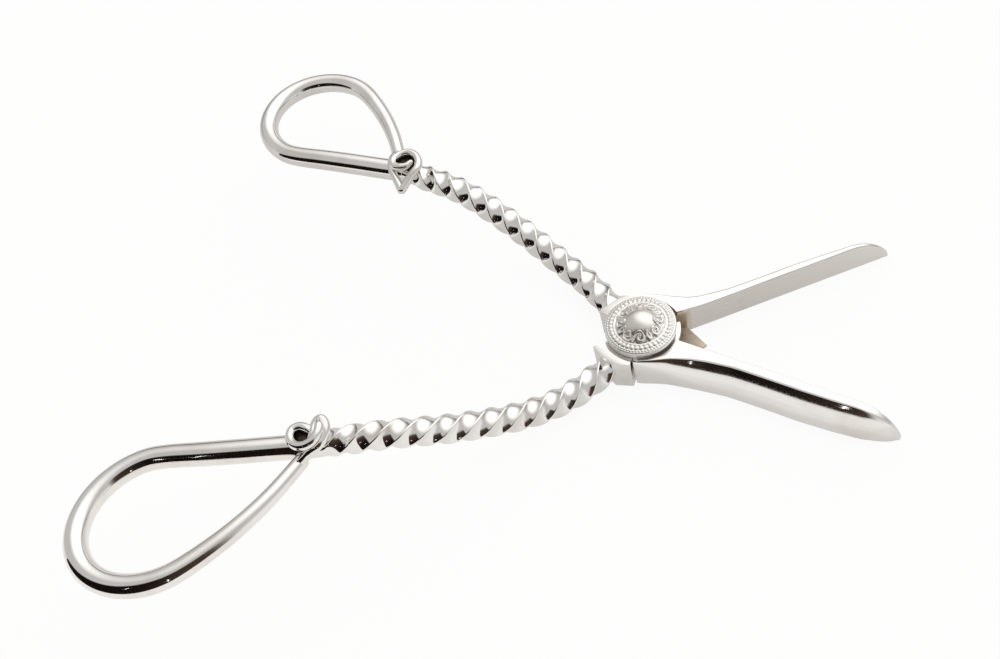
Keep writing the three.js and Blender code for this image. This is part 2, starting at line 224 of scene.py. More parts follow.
def applied(piece):
    # the mesh with its modifiers worked in
    bpy.context.view_layer.update()
    seen = bpy.context.evaluated_depsgraph_get()
    mesh = bpy.data.meshes.new_from_object(piece.evaluated_get(seen))
    piece.modifiers.clear()
    old = piece.data
    piece.data = mesh
    mesh.name = piece.name
    bpy.data.meshes.remove(old)
    return piece


def joined(piece, other, operation):
    # UNION or DIFFERENCE with another solid, which is used up
    tool = piece.modifiers.new(operation, "BOOLEAN")
    tool.operation = operation
    tool.solver = "EXACT"
    tool.object = other
    applied(piece)
    bpy.data.meshes.remove(other.data)
    return piece


def finishPiece(piece, body, nodes, materials):
    piece.data.materials.clear()
    for material in materials:
        piece.data.materials.append(material)
    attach(piece, body)
    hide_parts(*nodes)
    report(piece.name + " done")


# materials

silverLook = {
    "film": [(0.36, "#EAE5DF"), (0.52, "#F3F1EE")],   # noise level and colour: tarnish film, rubbed plate
    "filmSize": 9.0,            # mm, patches of that film
    "polish": (0.045, 0.11),    # roughness of the buffed surface
    "castPolish": (0.24, 0.36), # the cast ornament is only brushed
    "hairline": 0.35,           # mm, buffing lines, drawn coarser than life so that they show
    "hairRange": (0.35, 0.7),   # noise levels between which the roughness changes
    "waveSize": 5.0,            # mm, hand-filed unevenness under the polish
    "waveDepth": 0.009,         # mm
    "recessDark": "#4C4038",    # old polish and tarnish left in the ornament, and painted shadow under the rosette's edge
}


def polishedSilver(name, look, recessed=False):
    # silver plate, filed, buffed and hand-rubbed: near-mirror, softly uneven, faint warm film
    material, tree = newMaterial(name)
    place = addNode(tree, "TexCoord").outputs["Object"]
    film = addNode(tree, "TexNoise", {"Scale": 1 / (look["filmSize"] * mm), "Detail": 4.0}, {"Vector": place})
    tint = addNode(tree, "ValToRGB", {"ramp": look["film"]}, {"Fac": film})
    if recessed:
        # the recess attribute darkens the colour: old polish in the grooves, painted shadow under the
        # rosette's edge
        depth = addNode(tree, "Attribute", {"attribute_name": "recess"}).outputs["Fac"]
        tint = addNode(tree, "Mix", {"data_type": "RGBA", 7: linear(look["recessDark"])}, {0: depth, 6: tint})
    lines = addNode(tree, "TexNoise", {"Scale": 1 / (look["hairline"] * mm), "Detail": 2.0},
                    {"Vector": place})
    finish = look["castPolish" if recessed else "polish"]
    polish = addNode(tree, "MapRange", {"range": look["hairRange"] + finish}, {"Value": lines})
    wave = addNode(tree, "TexNoise", {"Scale": 1 / (look["waveSize"] * mm), "Detail": 1.0}, {"Vector": place})
    bump = addNode(tree, "Bump", {"Strength": 1.0, "Distance": look["waveDepth"] * mm}, {"Height": wave})
    shader = addNode(tree, "BsdfPrincipled", {"Metallic": 1.0},
                     {"Base Color": tint, "Roughness": polish, "Normal": bump})
    addNode(tree, "OutputMaterial", {}, {"Surface": shader})
    return material


def fromPivot(tree, place, near, far):
    # 0 within the first distance from the pivot axis, 1 beyond the second, in mm
    flat = addNode(tree, "VectorMath", {"operation": "MULTIPLY", 1: (1, 1, 0)}, {0: place})
    reach = addNode(tree, "VectorMath", {"operation": "LENGTH"}, {0: flat})
    return addNode(tree, "MapRange", {"range": (near * mm, far * mm)}, {"Value": reach})


groundLook = {
    "lines": [(0.3, "#E4DED7"), (0.6, "#F0ECE7")],   # noise level and colour: dull and bright lines
    "lineSize": 0.14,           # mm across one grinding line
    "lineRun": 4.0,             # mm along it
    "lineDepth": 0.0012,        # mm
    "lineRange": (0.3, 0.7),    # noise levels between which the roughness changes
    "polish": (0.16, 0.26),
    "heel": "#E3D9CC",          # painted brown reflection close to the heel
    "heelReach": (10.8, 11.2),  # mm from the pivot axis
    "tip": "#FBF8F3",           # rubbed brightest toward the tip
    "tipReach": (22, 50),       # mm from the pivot axis
}


def groundSilver(name, look, angle):
    # the cutting faces: ground flat on a wheel along the blade, then only lightly polished
    material, tree = newMaterial(name)
    place = addNode(tree, "TexCoord").outputs["Object"]
    turned = addNode(tree, "Mapping",
                     {"vector_type": "TEXTURE", "Rotation": (0, 0, math.radians(angle)),
                      "Scale": (look["lineRun"], 1.0, look["lineSize"])}, {"Vector": place})
    lines = addNode(tree, "TexNoise", {"Scale": 1 / mm, "Detail": 3.0}, {"Vector": turned})
    tint = addNode(tree, "ValToRGB", {"ramp": look["lines"]}, {"Fac": lines})
    rubbed = addNode(tree, "Mix", {"data_type": "RGBA", 7: linear(look["tip"])},
                     {0: fromPivot(tree, place, *look["tipReach"]), 6: tint})
    # painted brown reflection on the ground face close to the heel
    colour = addNode(tree, "Mix", {"data_type": "RGBA", 6: linear(look["heel"])},
                     {0: fromPivot(tree, place, *look["heelReach"]), 7: rubbed})
    polish = addNode(tree, "MapRange", {"range": look["lineRange"] + look["polish"]}, {"Value": lines})
    bump = addNode(tree, "Bump", {"Strength": 0.5, "Distance": look["lineDepth"] * mm}, {"Height": lines})
    shader = addNode(tree, "BsdfPrincipled", {"Metallic": 1.0},
                     {"Base Color": colour, "Roughness": polish, "Normal": bump})
    addNode(tree, "OutputMaterial", {}, {"Surface": shader})
    return material


# painted shade in the crotch: brown, darker toward the pivot
shadeLook = {
    "deep": "#7C6654",          # close to the pivot
    "edge": "#D9CCBC",          # where it comes out into the light
    "reach": (7.2, 12.6),       # mm from the pivot axis
    "spotSize": 1.3,            # mm
    "spotShare": 0.5,           # how much the spots mix the two
    "knot": "#33291F",          # in place of the edge, for the painted shade in the holes of the knot rings
}


def shadedSilver(name, look):
    # painted shade in the crotch and its hollow: brown and dull, darker toward the pivot where the least
    # light reaches
    material, tree = newMaterial(name)
    place = addNode(tree, "TexCoord").outputs["Object"]
    spots = addNode(tree, "TexNoise", {"Scale": 1 / (look["spotSize"] * mm), "Detail": 3.0},
                    {"Vector": place})
    mix = look["spotShare"]
    shift = addNode(tree, "Math", {"operation": "MULTIPLY_ADD", 1: mix, 2: -mix / 2}, {0: spots})
    share = addNode(tree, "Math", {"operation": "ADD", "use_clamp": True},
                    {0: fromPivot(tree, place, *look["reach"]), 1: shift})
    colour = addNode(tree, "Mix", {"data_type": "RGBA", 6: linear(look["deep"]), 7: linear(look["edge"])},
                     {0: share})
    shader = addNode(tree, "BsdfPrincipled", {"Metallic": 0.55, "Roughness": 0.45}, {"Base Color": colour})
    addNode(tree, "OutputMaterial", {}, {"Surface": shader})
    return material


paleFootLook = {
    "grain": [(0, "#E6E2DC"), (1, "#FBF9F6")],
    "grainSize": 0.4,           # mm
}


def paleFootSilver(name, look):
    # the rosette's foot where its painted shadow is faint: matt and pale
    material, tree = newMaterial(name)
    place = addNode(tree, "TexCoord").outputs["Object"]
    grain = addNode(tree, "TexNoise", {"Scale": 1 / (look["grainSize"] * mm), "Detail": 3.0},
                    {"Vector": place})
    tint = addNode(tree, "ValToRGB", {"ramp": look["grain"]}, {"Fac": grain})
    shader = addNode(tree, "BsdfPrincipled", {"Metallic": 0.25, "Roughness": 0.6}, {"Base Color": tint})
    addNode(tree, "OutputMaterial", {}, {"Surface": shader})
    return material


steelLook = {
    "marks": [(0, "#A39C93"), (1, "#C4BDB4")],
    "markSize": 0.12,           # mm between the rings of tool marks
    "waveLength": 0.3,          # of the wave texture at scale 1
}


def turnedSteel(name, look):
    # screw and nut: lathe-turned steel, rings of tool marks, a little dull
    material, tree = newMaterial(name)
    place = addNode(tree, "TexCoord").outputs["Object"]
    rings = addNode(tree, "TexWave",
                    {"wave_type": "RINGS", "rings_direction": "Z", "Distortion": 0.6,
                     "Scale": look["waveLength"] / (look["markSize"] * mm)}, {"Vector": place})
    tint = addNode(tree, "ValToRGB", {"ramp": look["marks"]}, {"Fac": rings.outputs["Fac"]})
    shader = addNode(tree, "BsdfPrincipled", {"Metallic": 1.0, "Roughness": 0.3}, {"Base Color": tint})
    addNode(tree, "OutputMaterial", {}, {"Surface": shader})
    return material


silver = polishedSilver("polishedSilver", silverLook)
ornamentSilver = polishedSilver("ornamentSilver", silverLook, recessed=True)
dullSilver = paleFootSilver("paleFootSilver", paleFootLook)
steel = turnedSteel("turnedSteel", steelLook)
# painted shade in the crotch between the blades
crotchShade = shadedSilver("shadedSilver", shadeLook)
# painted shade in the holes of the knot rings
knotHoleShade = shadedSilver("knotHoleShade", {**shadeLook, "edge": shadeLook["knot"]})
report("materials done")

# stems: a square bar twisted along a bowed line that climbs from the joint to the knot

stem = {
    "points": [[-6.5, -7.5, 3.8], [-13, -14.2, 3.8], [-19.6, -19.1, 4.9],
               [-31.8, -26.4, 10.1], [-43.9, -31.8, 15.1], [-56, -35.8, 16.8]],
    "width": 4.65,              # across the flats
    "corner": 0.5,              # radius of the edges, worn round
    "pillow": 0.22,             # how far the faces are hammered out toward a round bar
    "near": {"turns": 3.3, "start": 0.55, "tighter": 0.0},   # start and tighter in radians
    "far": {"turns": 3.15, "start": math.pi / 4, "tighter": 0.75},
    "tighterFrom": 0.6,         # share of the length from which the twist gets tighter
    "intoBlock": 1.2,           # the bar runs this far into the handle block
    "intoRod": 1.5,             # and this far over the start of the loop
    "fade": 4.5,                # over this length it goes from square to round
    "roundRadius": 2.43,
    "samples": 420,             # along its line
    "rings": 330,
}
mirrorY = {"near": np.array([1, 1, 1]), "far": np.array([1, -1, 1])}
bodyOf = {"near": "near_lever", "far": "far_lever"}


def stemLine(count=200):
    # the near stem's middle line and its length
    return evenCurve(stem["points"], count)


def twistedStem(hand):
    # rounded square carried along the stem line and turned with its length
    shape = stem[hand]
    line, length = stemLine(stem["samples"])
    tangent = unit(np.gradient(line, axis=0))
    part = np.linspace(-stem["intoBlock"] / length, 1 + stem["intoRod"] / length, stem["rings"])
    inside = np.clip(part, 0, 1)
    share = np.linspace(0, 1, stem["samples"])
    centre = np.stack([np.interp(inside, share, axis) for axis in line.T], 1)
    along = unit(np.stack([np.interp(inside, share, axis) for axis in tangent.T], 1))
    centre = centre + along * ((part - inside) * length)[:, None]
    level, across = crossAxes(along)
    # a quarter of the section: a worn edge, then the face up to the next one
    flat = stem["width"] / 2 - stem["corner"]
    edge = polar(flat * math.sqrt(2), 0) + polar(stem["corner"], np.linspace(-45, 45, 9))
    face = edge[-1] + (edge[-1, ::-1] - edge[-1]) * np.linspace(0, 1, 8)[1:-1, None]
    x, y = np.vstack([edge, face]).T
    size = np.tile(np.hypot(x, y), 4)
    size = size + (stem["roundRadius"] - size) * stem["pillow"]
    start = (np.arctan2(y, x) + np.arange(4)[:, None] * np.pi / 2).ravel()
    fade = ramp(part, 1 - stem["fade"] / length, 1)
    fade = (fade ** 2 * (3 - 2 * fade))[:, None]
    radius = (size * (1 - fade) + stem["roundRadius"] * fade)[..., None]
    twist = 2 * np.pi * shape["turns"] * part + shape["tighter"] * ramp(part, stem["tighterFrom"], 1) ** 2
    angle = (start + (shape["start"] - twist)[:, None])[..., None]
    rings = radius * (level[:, None] * np.cos(angle) + across[:, None] * np.sin(angle))
    piece = ringsPiece(f"{hand}Stem", (centre[:, None] + rings) * mirrorY[hand])
    finishPiece(piece, bodyOf[hand], [f"{hand}_stem"], [silver])


for hand in bodyOf:
    twistedStem(hand)

# finger loops: round rod bent round a circle, arms running to the knot

loop = {
    "rodRadius": 2.4,
    "bendRadius": 2.26,         # the rod draws a little thinner in the bend
    "endRadius": 1.5,
    "bend": (0.2, 0.34, 0.68),  # shares of the length: thick up to the first, thinnest between the others
    "blend": 0.1,               # share of the length over which each change is rounded
    "lead": 1.5,                # the rod starts this far inside the end of the twist
    "armStart": 0.65,           # and its inner arm this far past that end
    "tuck": 1.3,                # the outer arm ends this far under the other one
    "samples": 260,
    "sides": 40,
    "near": {"centre": [-83.5, -54.9], "radius": 12.9, "drawnOut": 0.12, "bows": [0.1, -1.5], "top": 20.4,
             "end": [-59.2, -41.2]},
    "far": {"centre": [-84.5, -54.0], "radius": 13.05, "drawnOut": 0.14, "bows": [0.15, -1.2], "top": 18.2,
            "end": [-61.0, -42.0]},
}


def bowed(a, b, bow):
    # three points on the way from a to b, moved aside on a parabola
    part = np.linspace(0, 1, 5)[1:-1, None]
    way = unit(b - a)
    return a + (b - a) * part + np.array([-way[1], way[0]]) * 4 * bow * part * (1 - part)


def loopLine(hand):
    # tangent from the knot to the circle, round it, and a tangent back; both arms slightly bowed
    shape = loop[hand]
    line = stemLine()[0]
    knot = line[-1]
    heading = unit(line[-1] - line[-2])
    start = (knot + heading * loop["armStart"])[:2]
    end = np.array(shape["end"])
    centre = np.array(shape["centre"])
    radius = shape["radius"]
    bowIn, bowOut = shape["bows"]
    toStart, toEnd = start - centre, end - centre
    # a bowed arm meets the circle at a slope, so the arc starts and ends that much earlier or later
    leanIn = 4 * bowIn / math.sqrt(toStart @ toStart - radius ** 2)
    leanOut = 4 * bowOut / math.sqrt(toEnd @ toEnd - radius ** 2)
    first = math.atan2(toStart[1], toStart[0]) + math.acos(radius / np.linalg.norm(toStart)) - leanIn
    last = math.atan2(toEnd[1], toEnd[0]) - math.acos(radius / np.linalg.norm(toEnd)) + leanOut
    reach = polar(radius, np.degrees(np.linspace(first, last + 2 * math.pi, 15)))
    axis = unit(-toStart)
    arc = centre + reach + axis * shape["drawnOut"] * np.maximum(reach @ axis, 0)[:, None]
    outer = bowed(arc[-1], end, bowOut)
    tucked = end + unit(end - outer[-1]) * loop["tuck"]
    plan = np.vstack([start, bowed(start, arc[0], bowIn), arc, outer, end, tucked])
    rise = (start[0] - plan[:, 0]) / (start[0] - plan[:, 0].min())
    points = np.c_[plan, knot[2] + (shape["top"] - knot[2]) * rise]
    return evenCurve(np.vstack([knot - heading * loop["lead"], points]), loop["samples"])[0]


def fingerLoop(hand):
    # round rod along the loop's line, thinner in the bend and at its end
    line = loopLine(hand)
    thick, thin = loop["rodRadius"], loop["bendRadius"]
    thickTo, thinFrom, thinTo = loop["bend"]
    steps = [(0, thick), (thickTo, thick), (thinFrom, thin), (thinTo, thin), (1, loop["endRadius"])]
    radii = softInterp(np.linspace(0, 1, len(line)), steps, loop["blend"])
    piece = roundRod(f"{hand}Loop", line * mirrorY[hand], radii, loop["sides"])
    finishPiece(piece, bodyOf[hand], [f"{hand}_loop"], [silver])


for hand in bodyOf:
    fingerLoop(hand)

# tendrils: the end of the outer arm carries on as a wire over the stem, a hairpin and a curled ring.
# Points are along the stem toward the pivot, inward, and up from the stem's line at the knot.

tendril = {
    "wireRadius": 0.92,
    "tip": 0.6,                 # radius at the free ends
    "taper": 0.06,              # share of the length over which a free end gets thinner
    "samples": 240,
    "sides": 24,
    "near": [[[-4.9, -4.3, 0.0], [-4.1, -3.7, 0.4], [-3.2, -3.35, 1.0], [-2.1, -3.2, 1.8], [-0.9, -3.0, 2.7],
              [0.95, -2.6, 3.6], [2.2, -1.4, 4.1], [2.75, -0.1, 4.6], [2.65, 1.2, 5.0], [2.05, 2.0, 5.2],
              [1.2, 1.8, 5.0], [0.65, 0.9, 4.8], [0.4, -0.5, 4.7], [-0.4, -1.8, 4.5]],
             [[1.9, 1.0, 6.1], [2.0, -0.25, 6.1], [1.6, -1.6, 6.0], [0.5, -2.75, 5.7], [-0.9, -3.15, 5.4],
              [-2.35, -2.85, 5.15], [-3.6, -1.8, 4.95], [-4.15, -0.2, 4.85], [-3.7, 1.2, 4.85],
              [-2.4, 1.6, 4.85], [-1.0, 0.95, 4.85], [-0.1, 0, 4.75]]],
    "far": [[[-8.3, -5.5, 0.1], [-6.95, -4.15, 0.4], [-6.1, -3.3, 1.3], [-4.8, -1.6, 3.0], [-4.0, 0.5, 3.7],
             [-3.2, 2.2, 3.6], [-1.7, 3.85, 3.4], [0.2, 5.35, 3.2], [2.0, 6.8, 3.0], [3.1, 7.65, 3.0],
             [3.3, 6.85, 3.3], [3.55, 5.1, 3.9], [4, 3.45, 4.5], [4.3, 2, 4.8], [3.55, 0.25, 4.85],
             [1.5, -1.45, 4.85], [-0.65, -1.65, 4.85], [-2.15, -0.35, 4.85], [-2.65, 1.5, 4.85],
             [-1.6, 2.85, 4.85], [0.15, 3.05, 4.95], [1.55, 2.35, 5.1], [2.15, 1.2, 5.3]]],
    "paintedShade": {"near": [-2.05, -0.75, 1.8, 1.8], "far": [0.3, 0.6, 2.6, 1.8]},   # middle and half sizes of the dark disc that paints the shade in each ring's hole
    "paintedShadeLevel": (4.15, 4.4),
}


def knotTendril(hand):
    # round wire along each row of points; the first starts inside the end of the outer arm
    line = stemLine()[0]
    knot = line[-1]
    forward = unit((line[-2] - line[-1]) * [1, 1, 0])
    inward = np.array([-forward[1], forward[0], 0])
    wire, tip, taper = tendril["wireRadius"], tendril["tip"], tendril["taper"]
    part = np.linspace(0, 1, tendril["samples"])
    for number, points in enumerate(tendril[hand]):
        local = np.array(points, float)
        path = knot + local[:, :1] * forward + local[:, 1:2] * inward + local[:, 2:] * [0, 0, 1]
        path = evenCurve(path, tendril["samples"])[0]
        start = tip if number else wire
        radii = np.interp(part, [0, taper, 1 - taper, 1], [start, wire, wire, tip])
        piece = roundRod(f"{hand}Tendril{number + 1}", path * mirrorY[hand], radii, tendril["sides"])
        finishPiece(piece, bodyOf[hand], [f"{hand}_tendril"], [silver])
    # a dark disc closes the ring from below: painted shade in its hole
    ahead, aside, longHalf, shortHalf = tendril["paintedShade"][hand]
    oval = polar(1.0, np.linspace(0, 360, 48, endpoint=False)) * [longHalf, shortHalf] + [ahead, aside]
    plan = knot + oval[:, :1] * forward + oval[:, 1:] * inward
    low, high = tendril["paintedShadeLevel"]
    plug = prism(f"{hand}RingShade", (plan * mirrorY[hand])[:, :2], knot[2] + low, knot[2] + high)
    finishPiece(plug, bodyOf[hand], [f"{hand}_tendril"], [knotHoleShade])


for hand in bodyOf:
    knotTendril(hand)

# nut under the joint, turned, with a small chamfer; the screw stays hidden in its bore

nut = {"radius": 3.6, "height": 1.5, "chamfer": 0.25, "core": 0.2, "columns": 96, "sharp": 30}


def nutPiece():
    # chamfered profile turned about the pivot axis
    radius, tall, cut, core = (nut[name] for name in ("radius", "height", "chamfer", "core"))
    profile = np.array([[core, 0.0], [radius - cut, 0.0], [radius, cut], [radius, tall], [core, tall]])
    piece = ringsPiece("pivotNut", turnedRings(profile, nut["columns"]))
    piece.data.set_sharp_from_angle(angle=math.radians(nut["sharp"]))
    finishPiece(piece, "near_lever", ["pivot_nut"], [steel])


# levers: blade, heel, half-lap plate and handle block of each lever

joint = {
    "height": 7.6,
    "lapGap": 0.3,              # between the two halves of the lap
    "plateRadius": 6.7,         # of each half
    "screwRadius": 2.0,
    "clearance": 0.3,           # round the screw and the nut
    "flush": 0.003,             # tops that meet differ by this much, so that they join cleanly
    "softEdge": 0.1,            # bevel along every edge
    "blockReach": 8.6,          # the handle block comes out sideways as far as this
    "innerAngle": 26,           # degrees, inner side of the block
    "shoulderAngle": 96.5,      # degrees, middle of the gap between a blade and the other lever's block
    "shoulderGap": 3.4,         # degrees
    "rootAngle": {"far": 300, "near": 60},   # degrees, other end of the cut round the root of each blade
    "closing": 47.9,            # degrees of motion
    "opening": 2,
    "lug": [[0, 0], [7.4, 6.3], [12.5, 1.85], [7, -3]],   # plan of the pointed lug between the blades
    "lugHeight": 1.5,
    "lugTip": 0.4,              # height left at its tip
    "lugRoom": 0.5,             # cut free round it in the upper lever
    "lugSwings": 13,            # positions of the levers at which that is cut
    "crotch": (7.9, -22, 17),   # heel of the upper lever between the blades: radius, from and to degrees
    "crotchRoom": 0.35,
    "crotchHeight": 1.2,
    "past": 1,                  # mm or degrees by which a cutter runs past what it cuts
    "cutReach": 30,             # radius of the cut round a blade's root
}
blades = {
    "far": {"side": 1, "angle": 27.9, "length": 54.3, "thickness": 4.0, "faceOffset": 1.1, "lower": 0.855},
    "near": {"side": -1, "angle": 20.0, "length": 51.8, "thickness": 4.75, "faceOffset": 0.65, "lower": 1},
    "lowerFrom": (6, 14),       # mm along the blade, between which its height goes down to that share
    # width along the blade: mm from the pivot and mm over the width of the heel, or over the thickness
    "heel": 8.3,
    "heelTaper": [(-4, 0.4), (0, 0.4), (2.5, 0)],
    "neck": (8, 0.8),           # here it is this share of the heel
    "body": [(14, 0.9), (20, 0.05), (27, -0.1), (34, -0.1)],
    "tipTaper": [(-11, -0.5), (-6, -1.1), (-3, -2.1), (-1.2, -3)],   # mm from the tip
    "tipWidth": 0.35,
    "blend": (3.0, 4.0),        # mm over which the steps of width and of height are rounded
    "tip": 9,                   # the top edge runs down to the tip over this length
    "tipHeight": 0.6,
    "tipCurve": (2.2, 0.7),     # powers: how late it turns down and how steeply it ends
    # the rounded back, from the top edge down: mm in from the widest place and mm below the top
    "shoulder": [(3.05, 0), (2.72, 0.12), (2.36, 0.5), (1.68, 1.5), (1.1, 2.55), (0.55, 3.7), (0.15, 4.7)],
    # and on to the underside: mm in and share of the height
    "foot": [(0, 0.26), (0, 0.16), (0.35, 0.06), (1.15, 0)],
    # mm from the pivot, and share of that rounding: the heel is nearly square
    "rounding": [(0, 0.1), (3, 0.15), (6, 0.42), (9, 0.72), (12, 0.92), (16, 1.02), (20, 1)],
    "edge": (0.2, 0.25),        # flat rubbed along the top inner edge: mm, and its largest share of the width
    "rows": (60, 44, 11, 1.4),  # rings on the body and on the tip, length of the tip, how they crowd there
}
lowTop = joint["height"] / 2 - joint["lapGap"] / 2
highBottom = joint["height"] / 2 + joint["lapGap"] / 2


def bladeSkin(name, shape):
    # section with a flat inner face and a rounded back, carried along the blade and drawn in at the tip
    length, thick = shape["length"], shape["thickness"]
    heel, full = blades["heel"], joint["height"]
    bodyRows, tipRows, tipLength, crowd = blades["rows"]
    s = np.concatenate([np.linspace(0, length - tipLength, bodyRows, endpoint=False),
                        length - tipLength * np.linspace(1, 0, tipRows) ** crowd])
    neckAt, neckShare = blades["neck"]
    widths = [(at, heel + more) for at, more in blades["heelTaper"]] + [(neckAt, heel * neckShare)]
    widths += [(at, thick + more) for at, more in blades["body"]]
    widths += [(length + at, thick + more) for at, more in blades["tipTaper"]]
    widths += [(length, blades["tipWidth"])]
    w = softInterp(s, widths, blades["blend"][0])
    lowerFrom, lowerTo = blades["lowerFrom"]
    heights = [(0, 1), (lowerFrom, 1), (lowerTo, shape["lower"]), (length, shape["lower"])]
    tall = full * softInterp(s, heights, blades["blend"][1])
    end = blades["tipHeight"]
    late, steep = blades["tipCurve"]
    h = end + (tall - end) * (1 - ramp(s, length - blades["tip"], length) ** late) ** steep
    k = softInterp(s, [*blades["rounding"], (length, 1)], blades["blend"][0])
    k = np.minimum(k, np.minimum(w / thick, h / full))
    back = np.stack([np.stack([w - across * k, h - down * k], 1) for across, down in blades["shoulder"]]
                    + [np.stack([w - across * k, share * h], 1) for across, share in blades["foot"]], 1)
    rubbed = np.minimum(blades["edge"][0], blades["edge"][1] * w)
    zero = np.zeros_like(s)
    corners = ((zero, zero), (zero, h - rubbed), (rubbed, h))
    foot, side, corner = (np.stack(at, 1)[:, None] for at in corners)
    step = np.linspace(0, 1, 6, endpoint=False)[None, :, None]
    face = np.concatenate([foot + (side - foot) * step, side], 1)
    top = corner + (back[:, :1] - corner) * step
    base = back[:, -1:] + (foot - back[:, -1:]) * step
    section = np.concatenate([face, top, curveThrough(back, perSpan=6, power=1), base], 1)
    turn = math.radians(shape["side"] * shape["angle"])
    across = shape["side"] * section[..., 0] + shape["faceOffset"]
    ahead = np.broadcast_to(s[:, None], across.shape)
    rings = np.stack([ahead * math.cos(turn) - across * math.sin(turn),
                      ahead * math.sin(turn) + across * math.cos(turn), section[..., 1]], -1)
    return ringsPiece(name, rings)


def handleBlock(name, side):
    # kite between the block's inner side and its shoulder, ended square to the stem
    line = stemLine(count=400)[0]
    way = unit((line[1] - line[0])[:2])
    end = line[0, :2] - way * joint["lapGap"]
    inner = polar(1.0, 180 + joint["innerAngle"])
    shoulder = joint["shoulderAngle"] + joint["shoulderGap"] / 2
    reach = joint["blockReach"]
    corners = np.array([[0, 0], inner * (end @ way) / (inner @ way),
                        [end[0] - way[1] * (-reach - end[1]) / way[0], -reach],
                        polar(reach / math.cos(math.radians(shoulder - 90)), -shoulder)])
    return prism(name, corners * [1, -side], 0, joint["height"] - joint["flush"])


def bevelled(piece, width, limit=38):
    # every edge sharper than the limit, in degrees, made soft
    soft = piece.modifiers.new("edges", "BEVEL")
    soft.width = width * mm
    soft.segments = 2
    soft.limit_method = "ANGLE"
    soft.angle_limit = math.radians(limit)
    applied(piece)
    piece.data.shade_smooth()
    piece.data.set_sharp_from_angle(angle=math.radians(limit))
    return piece


# where the ground silver and the painted shade of the crotch lie: mm along the blade, mm and degrees round
# the pivot
groundAndShade = {
    "groundFrom": 6,            # along the blade
    "groundFacing": 0.985,      # cosine to the inner face
    "angles": (-60, 80),        # of the crotch
    "inset": 0.2,               # the crotch starts this far inside the edge of the lap plate
    "reach": 9.4,               # and ends here
    "lugReach": 13.5,           # or, down on the lug, here
    "lugSlack": 0.1,            # mm over the lug's height
    "wallTo": 9.5,              # along the blade; walls past this are left out of the painted shade
    "bright": 1,                # mm; level faces this close to the top are in the light, so the painted shade leaves them out
    "down": -0.5,               # upward part of a normal: a face below this looks down,
    "wall": 0.5,                # below this it is a wall
    "level": 0.9,               # and above this it is level
    "below": {"far": joint["height"] - 0.05, "near": 0},   # mm up; none lies on the near blade
}


def sortFaces(piece, blade):
    # second material on the flat inner face of the blade, third, the painted shade, in the crotch
    mesh, shape = piece.data, blades[blade]
    count = len(mesh.polygons)
    normal = np.empty(count * 3, np.float32)
    centre = np.empty(count * 3, np.float32)
    mesh.polygons.foreach_get("normal", normal)
    mesh.polygons.foreach_get("center", centre)
    normal, centre = normal.reshape(-1, 3), centre.reshape(-1, 3) / mm
    turn = math.radians(shape["side"] * shape["angle"])
    out = np.array([math.sin(turn), -math.cos(turn), 0]) * shape["side"]
    ahead = centre @ [math.cos(turn), math.sin(turn), 0]
    ground = (normal @ out > groundAndShade["groundFacing"]) & (ahead > groundAndShade["groundFrom"])
    reach = np.hypot(centre[:, 0], centre[:, 1])
    angle = np.degrees(np.arctan2(centre[:, 1], centre[:, 0]))
    high, upward = centre[:, 2], normal[:, 2]
    crotch = (angle > groundAndShade["angles"][0]) & (angle < groundAndShade["angles"][1])
    crotch &= (reach > joint["plateRadius"] - groundAndShade["inset"]) & (reach < groundAndShade["lugReach"])
    crotch &= (reach < groundAndShade["reach"]) | (high < joint["lugHeight"] + groundAndShade["lugSlack"])
    crotch &= (high < groundAndShade["below"][blade]) & (upward > groundAndShade["down"])
    crotch &= ~((upward < groundAndShade["wall"]) & (ahead > groundAndShade["wallTo"]))
    crotch &= ~((upward > groundAndShade["level"]) & (high > joint["height"] - groundAndShade["bright"]))
    mesh.polygons.foreach_set("material_index", np.where(ground, 1, np.where(crotch, 2, 0)).astype(np.int32))
    mesh.update()


def roundPivot(piece, start, end):
    # clears the blade's skin from round the pivot with two overlapping sectors
    middle, past = (start + end) / 2, joint["past"]
    for first, last in ((start, middle + past), (middle - past, end)):
        wedge = sector("cut", joint["cutReach"], first, last, -past, joint["height"] + past)
        joined(piece, wedge, "DIFFERENCE")


def lowerLever():
    # far blade: skin cleared at the root, hollow for the upper heel, block, lower half of the lap, lug, bores
    tall, gap, room, past = (joint[name] for name in ("height", "lapGap", "clearance", "past"))
    piece = bladeSkin("farBlade", blades["far"])
    roundPivot(piece, joint["shoulderAngle"] - joint["shoulderGap"] / 2, joint["rootAngle"]["far"])
    heelRadius, _, heelEnd = joint["crotch"]
    hollow = sector("cut", heelRadius + joint["crotchRoom"], 0, heelEnd + joint["closing"] + joint["opening"],
                    tall - joint["crotchHeight"] - gap, tall + past)
    joined(piece, hollow, "DIFFERENCE")
    joined(piece, handleBlock("add", -1), "UNION")
    joined(piece, disc("cut", joint["plateRadius"] + gap, lowTop, tall + past), "DIFFERENCE")
    joined(piece, disc("add", joint["plateRadius"], 0, lowTop), "UNION")
    root, point = joint["lugHeight"], joint["lugTip"]
    joined(piece, prism("add", joint["lug"], 0, [root, root, point, root]), "UNION")
    joined(piece, disc("cut", joint["screwRadius"] + room, -past, tall + past), "DIFFERENCE")
    joined(piece, disc("cut", nut["radius"] + room, -past, nut["height"] + room), "DIFFERENCE")
    bevelled(piece, joint["softEdge"])
    finishPiece(piece, "near_lever", ["far_blade"],
                [silver, groundSilver("groundFarFace", groundLook, blades["far"]["angle"]), crotchShade])
    sortFaces(piece, "far")


